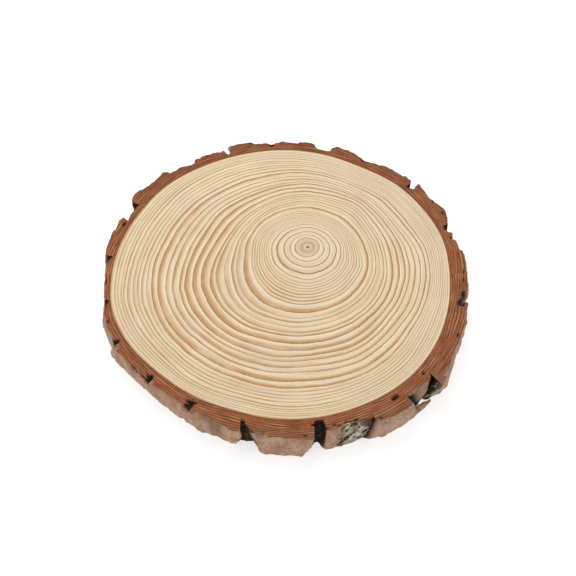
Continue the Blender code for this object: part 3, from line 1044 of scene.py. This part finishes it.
@dataclass
class Bark:
    """The bark round the slice: its cut top and bottom, its plates and its fissures.

    Sizes in mm: how far corners are rounded at the top face and at the underside, how far round
    the log the columns even out on their way in to the wood, half the width of the widest
    fissure that the crest bridges, how far the bark laps over the edge of the wood, and the
    thinnest that the bark is taken to be.  The lean is the power that the share of the way down
    is raised to, and the usual nick takes a share of the bark's thickness.
    """

    columns: int = 1600
    cut_rows: int = 20
    side_rows: int = 26
    base_rows: int = 7
    strips: int = 4
    slits: int = 30
    top_rounding: float = 0.45
    foot_rounding: float = 0.4
    evening: float = 6.5
    bridge: float = 9.0
    lap: float = 0.1
    thinnest: float = 1.0
    lean: float = 1.3
    usual_nick: float = 0.14

    def __post_init__(self) -> None:
        """Work out the outlines at both faces and the edge of the wood inside them."""
        corners = np.array([corner for plate in PLATES for corner in plate])
        angle = np.radians(corners[:, 0])
        corner_points = round_log(corners[:, 1], angle)
        closed = np.concatenate([corner_points, corner_points[:1]])
        steps = np.linalg.norm(np.diff(closed, axis=0), axis=1)
        travelled = np.concatenate([[0.0], np.cumsum(steps)])
        self.spacing = travelled[-1] / self.columns
        at = np.arange(self.columns) * self.spacing
        outline = np.stack([np.interp(at, travelled, closed[:, k]) for k in (0, 1)], axis=1)
        outline = smooth_loop(outline, self.top_rounding / self.spacing)
        self.outward = outward_of(outline)
        flat = np.concatenate([outline, np.zeros((self.columns, 1))], axis=1)
        ragged = 0.42 * noise(flat, 3.2, 11) + 0.24 * noise(flat, 1.1, 12)
        self.outline = outline + self.outward * ragged[:, None]
        turn = np.unwrap(np.arctan2(outline[:, 1], outline[:, 0]))
        steady = np.linspace(0.0, math.tau, self.columns, endpoint=False)
        loose = smooth_loop(turn - turn[0] - steady, self.evening / self.spacing)
        inner_turn = steady + loose + turn[0]
        self.inner = round_log(wood_radius(inner_turn) - self.lap, inner_turn)
        thickness = np.linalg.norm(self.outline, axis=1) - wood_radius(turn)
        self.crest = self._crest(thickness)
        self.fissure = np.clip(1.0 - np.maximum(thickness, self.thinnest) / self.crest, 0.0, 1.0)
        self._set_foot(inner_turn)
        self._set_nicks(flat, np.degrees(turn))

    def _set_foot(self, inner_turn: np.ndarray) -> None:
        """Work out the outline at the underside, its outward directions and its crest.

        Args:
            inner_turn: direction in radians that each column starts at, on the edge of the wood.
        """
        inner_degrees = np.mod(np.degrees(inner_turn), 360.0)
        feet = [(degrees, degrees, distance) for degrees, distance in FAR_FEET]
        for top_degrees, top_distance, foot_degrees, foot_distance in FEET:
            column = self.place_near(top_degrees, top_distance)
            feet.append((inner_degrees[column], foot_degrees, foot_distance))
        feet = np.array(feet)
        shift = np.interp(inner_degrees, feet[:, 0], feet[:, 1] - feet[:, 0], period=360.0)
        foot_radius = np.interp(inner_degrees, feet[:, 0], feet[:, 2], period=360.0)
        foot_radius = smooth_loop(foot_radius, self.foot_rounding / self.spacing)
        foot_turn = inner_turn + np.radians(smooth_loop(shift, self.foot_rounding / self.spacing))
        self.foot = round_log(foot_radius, foot_turn)
        self.foot_outward = outward_of(self.foot)
        self.foot_crest = self._crest(foot_radius - wood_radius(foot_turn))

    def _set_nicks(self, flat: np.ndarray, degrees: np.ndarray) -> None:
        """Work out how much each column's upper edge has lost, at random and at the nicks.

        Args:
            flat: the outline at the top face before it is made ragged, shape (columns, 3).
            degrees: direction of each column round the log's middle.
        """
        self.nick = 1.7 * np.clip(noise(flat, 6.0, 81, 2) - 0.3, 0.0, 1.0)
        self.nick_share = np.full(self.columns, self.usual_nick)
        for nick in NICKS:
            window = 1.0 - smooth_step(degrees_apart(degrees, nick.angle) / nick.width * 1.5 - 0.5)
            self.nick = np.maximum(self.nick, nick.drop * window)
            self.nick_share = self.nick_share + (nick.share - self.usual_nick) * window

    def _crest(self, thickness: np.ndarray) -> np.ndarray:
        """Thickness that the bark would have with its fissures filled: a sliding maximum, eased."""
        reach = int(self.bridge / self.spacing)
        crest = thickness.copy()
        for step in range(1, reach + 1):
            crest = np.maximum(crest, np.maximum(np.roll(thickness, step), np.roll(thickness, -step)))
        return smooth_loop(crest, reach / 2.0)

    def read(self, loop: np.ndarray, places: np.ndarray) -> np.ndarray:
        """Read samples round the loop at places between the columns, along straight lines.

        Args:
            loop: samples, one to a column; a second axis is carried along.
            places: column numbers, whole or not.

        Returns:
            The values there, in the shape of places.
        """
        lower = np.floor(places).astype(int)
        part = places - lower
        if loop.ndim > 1:
            part = part[..., None]
        return loop[lower % self.columns] * (1.0 - part) + loop[(lower + 1) % self.columns] * part

    def place_near(self, angle: float, radius: float) -> int:
        """Find the column nearest a direction in degrees and a distance in mm."""
        turn = math.radians(angle)
        spot = np.array([radius * math.cos(turn), radius * math.sin(turn)])
        return int(np.argmin(np.linalg.norm(self.outline - spot, axis=1)))

    def side(self, places: np.ndarray, height: np.ndarray) -> tuple[np.ndarray, np.ndarray, np.ndarray]:
        """Work out the bark's outside.

        A point lies on the way from the outline at the top face to the outline at the underside,
        by the share of the thickness that it is down, raised to the lean's power, and drifts
        sideways a little at mid height.  Some fissures fill up just below the top face.  Chips
        cut in near the bottom, and the skin is pushed along its outward direction by thin scales
        and fine roughness.

        Args:
            places: column numbers, whole or not, shape (columns,).
            height: heights in mm, shape (rows,).

        Returns:
            Points from the log's middle and outward directions, shape (rows, columns, 3), and
            how deep in a fissure each point is, from 0 to 1.
        """
        down = 1.0 - height[:, None] / THICKNESS
        start = np.zeros((len(height), len(places), 3))
        start[..., :2] = self.read(self.outline, places)
        start[..., 2] = height[:, None]
        drift = (1.0 * noise(start, 14.0, 61) + 0.9 * noise(start, 6.0, 62)) * np.sin(math.pi * down)
        moved = places + drift / self.spacing
        lower = down**self.lean
        outline = self.read(self.outline, moved) * (1.0 - lower[..., None])
        outline = outline + self.read(self.foot, moved) * lower[..., None]
        outward = self.read(self.outward, moved) * (1.0 - lower[..., None])
        outward = unit(outward + self.read(self.foot_outward, moved) * lower[..., None])
        turn = np.arctan2(outline[..., 1], outline[..., 0])
        thickness = np.linalg.norm(outline, axis=-1) - wood_radius(turn)
        thickness = np.maximum(thickness, self.thinnest)
        crest = self.read(self.crest, moved) * (1.0 - lower) + self.read(self.foot_crest, moved) * lower
        fissure = np.clip(1.0 - thickness / crest, 0.0, 1.0)
        degrees = np.mod(np.degrees(turn), 360.0)
        closing = np.array(CLOSING)
        closed = np.interp(degrees, closing[:, 0], closing[:, 1], period=360.0)
        closed = closed * smooth_step((down - 0.05 + 0.05 * noise(start, 5.0, 75)) / 0.2)
        fill = closed * np.maximum(crest - thickness, 0.0)
        outline = outline * (1.0 + fill / np.linalg.norm(outline, axis=-1))[..., None]
        fissure = fissure * (1.0 - closed)
        bite = np.minimum(self._bite(start, degrees, fissure), 0.85 * thickness)
        kept = 1.0 - bite / np.linalg.norm(outline, axis=-1)
        points = np.concatenate([outline * kept[..., None], start[..., 2:]], axis=-1)
        push = self._push(points, down, fissure)
        points[..., :2] += outward * np.clip(push, -0.4 * thickness, 1.6)[..., None]
        nick = self.read(self.nick, places)
        points[..., 2] *= 1.0 - nick / THICKNESS
        direction = np.concatenate([outward, np.zeros(outward.shape[:2] + (1,))], axis=-1)
        return points, direction, fissure

    def _bite(self, start: np.ndarray, degrees: np.ndarray, fissure: np.ndarray) -> np.ndarray:
        """Depth in mm that the chips and the ragged lower edge take off the outside.

        Args:
            start: points straight below the outline at the top face, shape (rows, columns, 3).
            degrees: direction of each point round the log's middle.
            fissure: how deep in a fissure each point is, from 0 to 1.

        Returns:
            Depths, shape (rows, columns).
        """
        height = start[..., 2]
        flat = start * np.array([1.0, 1.0, 0.0])
        bite = np.zeros(degrees.shape)
        for chip in CHIPS:
            along = (degrees - chip.first) / (chip.last - chip.first)
            window = smooth_step(along * 8.0 + 0.5) * smooth_step((1.0 - along) * 8.0 + 0.5)
            rise = chip.last_height - chip.first_height
            top = chip.first_height + rise * np.clip(along, 0.0, 1.0)
            top = top * (1.0 + 0.25 * noise(flat, 2.5, 72))
            bite = np.maximum(bite, chip.depth * window * smooth_step((top - height) / 1.2 + 0.5))
        ragged = 5.0 * np.clip(noise(flat, 8.0, 71, 2) - 0.2, 0.02, 1.0)
        return bite + 1.0 * (1.0 - fissure) * smooth_step(1.2 * (1.0 - height / ragged))

    def _push(self, points: np.ndarray, down: np.ndarray, fissure: np.ndarray) -> np.ndarray:
        """Height in mm of the belly, the thin scales and the roughness on the outside.

        Args:
            points: points on the outside, shape (rows, columns, 3).
            down: share of the thickness that each row is down, shape (rows, 1).
            fissure: how deep in a fissure each point is, from 0 to 1.

        Returns:
            Heights, shape (rows, columns).
        """
        scales = 2.0 * noise(points * np.array([1.0, 1.0, 0.7]), 13.0, 31, 2)
        flakes = np.floor(scales) + smooth_step((scales - np.floor(scales)) * 8.0)
        ridged = noise(points * np.array([1.0, 1.0, 0.3]), 4.0, 21, 2)
        fine = noise(points, 1.5, 41, 2)
        open_air = smooth_step(down * 5.0)
        belly = 0.4 * np.sin(math.pi * down) * (1.0 - fissure)
        return belly + open_air * (0.6 * (flakes - 0.4) + (0.22 + 0.5 * fissure) * ridged + 0.14 * fine)

    def build(self) -> bpy.types.Object:
        """Build the closed ring of bark.

        The rows run out over the top cut face, down the outside, in under the slice and up the
        hidden inner wall, and the columns go round the log.

        Returns:
            The dressed piece.
        """
        out = np.append(np.linspace(0.0, 0.97, self.cut_rows), [0.988, 1.0])
        top, broken, hollow = self._top(out)
        drop = np.linspace(1.7, THICKNESS - 1.2, self.side_rows)
        drop = np.concatenate([[0.12, 0.4, 0.9], drop, [THICKNESS - 0.5, THICKNESS - 0.15]])
        side, _, fissure = self.side(np.arange(self.columns), THICKNESS - drop)
        inward = np.linspace(1.0, 0.0, self.base_rows)[:, None, None]
        base = np.zeros((self.base_rows, self.columns, 3))
        base[..., :2] = self.inner * (1.0 - inward) + side[-1, :, :2] * inward
        # Painted shade: the outside is darkened the deeper it lies in a fissure, and beside one; together
        # with the sawn top's painted shade it goes into the shade attribute.
        near = np.stack([np.roll(fissure, step, axis=1) for step in range(-2, 3)]).max(axis=0)
        dark = smooth_step((0.4 * fissure + 0.6 * near) * 4.4 - 0.3) * 0.98
        cut = np.concatenate([1.0 - broken, np.zeros_like(dark), np.ones(base.shape[:2])])
        shade = np.concatenate([hollow, dark, np.zeros(base.shape[:2])])
        return self._mesh(np.concatenate([top, side, base]), cut, shade)

    def _top(self, out: np.ndarray) -> tuple[np.ndarray, np.ndarray, np.ndarray]:
        """Lay the sawn top between the wood's edge and the outline.

        Args:
            out: shares of the way out, shape (rows,).

        Returns:
            Points, how far each is broken away from the sawn face, and how much painted shade it gets
            beside a fissure and inside a pit or slit, each from 0 to 1.
        """
        share = out[:, None]
        points = np.empty((len(out), self.columns, 3))
        points[..., :2] = self.inner * (1.0 - share[..., None]) + self.outline * share[..., None]
        points[..., 2] = THICKNESS
        rough = noise(points, 1.6, 51, 2)
        start = 1.0 - self.nick_share * (1.0 + 0.35 * rough)
        broken = smooth_step((share - start) / np.maximum(1.0 - start, 0.01) * 1.6)
        points[..., 2] -= 0.12 + 0.10 * np.abs(rough) * smooth_step(share * 8.0)
        points[..., 2] -= 0.25 * smooth_step((share - 0.9) * 10.0) + broken * self.nick
        degrees = np.degrees(np.arctan2(points[..., 1], points[..., 0]))
        radius = np.linalg.norm(points[..., :2], axis=-1)
        # Painted shade on the sawn top: darker where its outer edge meets a fissure, and inside each pit
        # and slit.
        hollow = smooth_step(self.fissure * 2.0 - 0.3) * smooth_step((share - 0.72) / 0.28) * 0.75
        for pit in PITS + self._slits():
            along = degrees_apart(degrees, pit.angle) * math.radians(pit.radius) / pit.length
            across = (radius - pit.radius) / pit.width
            inside = 1.0 - smooth_step(np.hypot(along, across) * (1.0 + 0.4 * rough) - 0.4)
            points[..., 2] -= pit.depth * inside
            hollow = np.maximum(hollow, inside)
        return points, broken * np.minimum(self.nick, 1.0) * 0.9, np.clip(hollow, 0.0, 0.95)

    def _slits(self) -> tuple[Pit, ...]:
        """Scatter small slits over the cut face, where two layers of cork have come apart."""
        rng = np.random.default_rng(23)
        slits = []
        for _ in range(self.slits):
            column = int(rng.integers(self.columns))
            inner, outer = np.linalg.norm(self.inner[column]), np.linalg.norm(self.outline[column])
            share = rng.uniform(0.72, 1.0)
            angle = math.degrees(math.atan2(self.outline[column, 1], self.outline[column, 0]))
            length, width = rng.uniform(1.0, 2.4), rng.uniform(0.45, 0.75)
            slits.append(Pit(angle, inner + share * (outer - inner), length, width, rng.uniform(0.6, 1.6)))
        return tuple(slits)

    def _mesh(self, grid: np.ndarray, cut: np.ndarray, shade: np.ndarray) -> bpy.types.Object:
        """Turn the grid into a closed mesh, and lay its pattern map and its bake map."""
        rows, columns = grid.shape[:2]
        quads, places = grid_quads(rows, columns, wrap_rows=True)
        turn = np.unwrap(np.arctan2(grid[0, :, 1], grid[0, :, 0]))
        around = np.append(turn, turn[0] + math.tau) * WOOD_EDGE.mean()
        across = np.linalg.norm(grid[..., :2], axis=-1)
        across = across - wood_radius(np.arctan2(grid[..., 1], grid[..., 0]))
        across = np.concatenate([across, across[:, :1]], axis=1)
        across = np.concatenate([across, across[-1:]])
        pattern = np.stack([np.broadcast_to(around, across.shape), across], axis=-1) * MM
        pattern = pattern.reshape(-1, 2)[places].reshape(-1, 2)
        gaps = np.linalg.norm(np.diff(grid, axis=0), axis=-1).mean(axis=1)
        path = np.concatenate([[0.0], np.cumsum(gaps), [gaps.sum() + 1.0]])
        path = 0.01 + 0.98 * path / path[-1]
        column = places % (columns + 1)
        long = columns // self.strips
        strip = np.minimum(column[:, :1] // long, self.strips - 1)
        bake_along = (column - strip * long) / long * 0.998 + 0.001
        bake_up = (strip + path[places // (columns + 1)]) / self.strips
        bake = np.stack([bake_along, bake_up], axis=-1)
        points = grid.reshape(-1, 3) + np.array([*LOG_MIDDLE, 0.0])
        piece = add_piece(
            "bark",
            points,
            quads,
            uv_maps={"bark_flow": pattern, "OFBake": bake.reshape(-1, 2)},
            attributes={"cut": cut, "shade": shade},
        )
        piece.data.materials.append(PineBark().material())
        return piece


@dataclass(frozen=True)
class LichenPatch:
    """A crust of curled ridges on the bark's side, between two places on its outline.

    Sizes: the two places as direction in degrees and distance in mm, and the lowest and highest
    edge in mm.
    """

    name: str
    first: tuple[float, float]
    last: tuple[float, float]
    low: float
    high: float
    seed: int
    step: float = 0.25

    def build(self, bark: Bark) -> bpy.types.Object:
        """Build the crust as a thin body that follows the bark.

        Its front stands off the bark by thin curved ridges, found where a smooth random height
        crosses zero, and sinks under the bark outside a ragged blob.

        Args:
            bark: the bark that it grows on.

        Returns:
            The dressed piece.
        """
        start = bark.place_near(*self.first)
        end = bark.place_near(*self.last)
        count = int((end - start) * bark.spacing / self.step)
        places = np.linspace(start, end, count)
        height = np.linspace(self.high, self.low, int((self.high - self.low) / self.step))
        surface, outward, _ = bark.side(places, height)
        along = np.linspace(-1.0, 1.0, count)[None, :]
        up = np.linspace(1.0, -1.0, len(height))[:, None]
        blob = 1.0 - np.hypot(along, up * 0.95) ** 3 + 1.1 * noise(surface, 4.5, self.seed + 3, 2)
        run = places[None, :] * bark.spacing + 1.8 * noise(surface, 6.0, self.seed + 5)
        slant = np.zeros(surface.shape)
        slant[..., 0] = (run + height[:, None]) * 0.30
        slant[..., 1] = height[:, None] - run
        curls = 1.0 - 1.9 * np.abs(noise(slant, 2.7, self.seed, 2))
        rims = 1.0 - 3.0 * np.abs(noise(surface, 1.9, self.seed + 7))
        ridge = np.clip(np.maximum(curls, 0.7 * rims), 0.0, 1.0)
        cover = smooth_step(blob * 2.0 + 0.1)
        lift = cover * (0.1 + 1.0 * ridge) - 0.8 * (1.0 - cover) * (1.0 - 0.5 * ridge)
        front = surface + outward * lift[..., None]
        back = surface - outward * 1.4
        points, quads = closed_slab(front, back)
        points = points + np.array([*LOG_MIDDLE, 0.0])
        points[:, 2] = np.clip(points[:, 2], 0.05, THICKNESS - 0.2)
        young = smooth_step(0.2 - 1.4 * (along + 0.35) + 0.6 * noise(surface, 4.0, self.seed + 9))
        attributes = {"ridge": ridge, "young": young}
        attributes = {
            key: np.concatenate([value, value[:, ::-1]], axis=1) for key, value in attributes.items()
        }
        piece = add_piece(self.name, points, quads, attributes=attributes)
        piece.data.materials.append(CrustLichen().material())
        return piece


@dataclass(frozen=True)
class BarkSliver:
    """A loose splinter of bark that hangs on by one end.

    Sizes: its ends as direction in degrees, distance from the log's middle and height in mm,
    and its greatest width and depth in mm.
    """

    name: str
    first: tuple[float, float, float]
    last: tuple[float, float, float]
    width: float
    depth: float
    seed: int
    stations: int = 60
    around: int = 20

    def build(self) -> bpy.types.Object:
        """Build the splinter: an oval swept along a line, tapered to both ends and made ragged.

        Returns:
            The dressed piece.
        """
        places = []
        for degrees, distance, height in (self.first, self.last):
            bearing = math.radians(degrees)
            middle_x, middle_y = LOG_MIDDLE
            x = middle_x + distance * math.cos(bearing)
            y = middle_y + distance * math.sin(bearing)
            places.append((x, y, height))
        ends = np.array(places)
        along = np.linspace(0.0, 1.0, self.stations)[:, None]
        spine = ends[0] * (1.0 - along) + ends[1] * along
        forward = unit(ends[1] - ends[0])
        sideways = unit(np.cross(np.array([0.0, 0.0, 1.0]), forward))
        upward = np.cross(forward, sideways)
        turn = np.linspace(0.0, math.tau, self.around, endpoint=False)
        swell = 0.35 + 0.65 * np.sin(math.pi * (0.05 + 0.9 * along)) ** 0.6
        ring = (
            np.cos(turn)[None, :, None] * sideways * self.depth / 2.0
            + np.sin(turn)[None, :, None] * upward * self.width / 2.0
        )
        grid = spine[:, None, :] + ring * swell[..., None]
        rough = 1.0 + 0.45 * noise(grid, 2.4, self.seed, 2)
        grid = spine[:, None, :] + ring * (swell * rough)[..., None]
        grid[..., 2] = np.maximum(grid[..., 2], 0.05)
        tips = (tuple(grid[0].mean(axis=0)), tuple(grid[-1].mean(axis=0)))
        points, quads, fans, bake = closed_tube(grid, tips, along[:, 0])
        edge = 0.35 + 0.4 * noise(points, 3.0, self.seed + 5)
        # The shade attribute gives the whole sliver a slight, even painted shade.
        attributes = {"cut": np.clip(edge, 0.0, 1.0), "shade": np.full(len(points), 0.15)}
        piece = add_piece(self.name, points, quads, fans, {"bark_flow": bake * 0.02}, attributes)
        piece.data.materials.append(PineBark().material())
        return piece


LICHEN_PATCHES = (
    LichenPatch("lichen_front", (286.6, 129.8), (297.2, 130.3), 0.4, 22.0, 101),
    LichenPatch("lichen_right", (321.5, 132.0), (320.8, 139.4), 0.6, 22.2, 131),
)
SLIVERS = (
    BarkSliver("bark_sliver", (309.8, 132.9, 2.8), (317.4, 134.9, 3.0), 6.6, 2.6, 151),
)


# ---------------------------------------------------------------- studio


@dataclass
class Studio:
    """A white sweep under soft light, and the camera."""

    distance: float = 0.93
    elevation: float = 52.0
    focal_length: float = 85.0
    target: tuple[float, float] = (1.725, -8.714)

    def build(self) -> None:
        """Add the floor, the lights and the camera."""
        self._floor()
        self._sky()
        self._soft_box("soft_box_back", (-0.35, 0.75, 1.25), 1.1, 10.0)
        self._camera()

    def _floor(self) -> None:
        """Lay a wide white floor just under the slice."""
        mesh = bpy.data.meshes.new("floor")
        half = 4.0
        drop = -0.0001
        corners = [(-half, -half, drop), (half, -half, drop), (half, half, drop), (-half, half, drop)]
        mesh.from_pydata(corners, [], [(0, 1, 2, 3)])
        floor = bpy.data.objects.new("floor", mesh)
        bpy.context.scene.collection.objects.link(floor)
        paint = Paint("white_sweep")
        # Backlit white acrylic: it glows a little, so that the slice's shadow is faint.
        paint.finish(
            0.9,
            Base_Color=linear("#C4C4C4"),
            Specular_IOR_Level=0.0,
            Emission_Color=(1.0, 1.0, 1.0, 1.0),
            Emission_Strength=0.68,
        )
        mesh.materials.append(paint.material)

    def _sky(self) -> None:
        """Surround everything with even white light."""
        world = bpy.data.worlds.new("studio")
        world.use_nodes = True
        world.node_tree.nodes["Background"].inputs["Color"].default_value = (1.0, 1.0, 1.0, 1.0)
        world.node_tree.nodes["Background"].inputs["Strength"].default_value = 0.62
        bpy.context.scene.world = world

    def _soft_box(self, name: str, place: tuple[float, float, float], size: float, power: float) -> None:
        """Hang a square soft light that faces the slice."""
        light = bpy.data.lights.new(name, "AREA")
        light.size = size
        light.energy = power
        lamp = bpy.data.objects.new(name, light)
        lamp.location = place
        towards = -np.array(place)
        flat = math.hypot(towards[0], towards[1])
        lamp.rotation_euler = (math.atan2(flat, -towards[2]), 0.0, math.atan2(-towards[0], towards[1]))
        bpy.context.scene.collection.objects.link(lamp)

    def _camera(self) -> None:
        """Look down on the top face from the front."""
        lens = bpy.data.cameras.new("camera")
        lens.lens = self.focal_length
        lens.sensor_width = 36.0
        camera = bpy.data.objects.new("camera", lens)
        lift = math.radians(self.elevation)
        camera.location = (
            self.target[0] * MM,
            self.target[1] * MM - self.distance * math.cos(lift),
            THICKNESS * MM + self.distance * math.sin(lift),
        )
        camera.rotation_euler = (math.pi / 2 - lift, 0.0, 0.0)
        bpy.context.scene.collection.objects.link(camera)
        bpy.context.scene.camera = camera
        bpy.context.scene.view_settings.view_transform = "Standard"


def main() -> None:
    """Build every piece in order."""
    logging.basicConfig(level=logging.INFO, format="%(name)s: %(message)s")
    Studio().build()
    declare(SawnWood().build())
    bark = Bark()
    declare(bark.build())
    for patch in LICHEN_PATCHES:
        declare(patch.build(bark))
    for sliver in SLIVERS:
        declare(sliver.build())


if __name__ == "__main__":
    main()
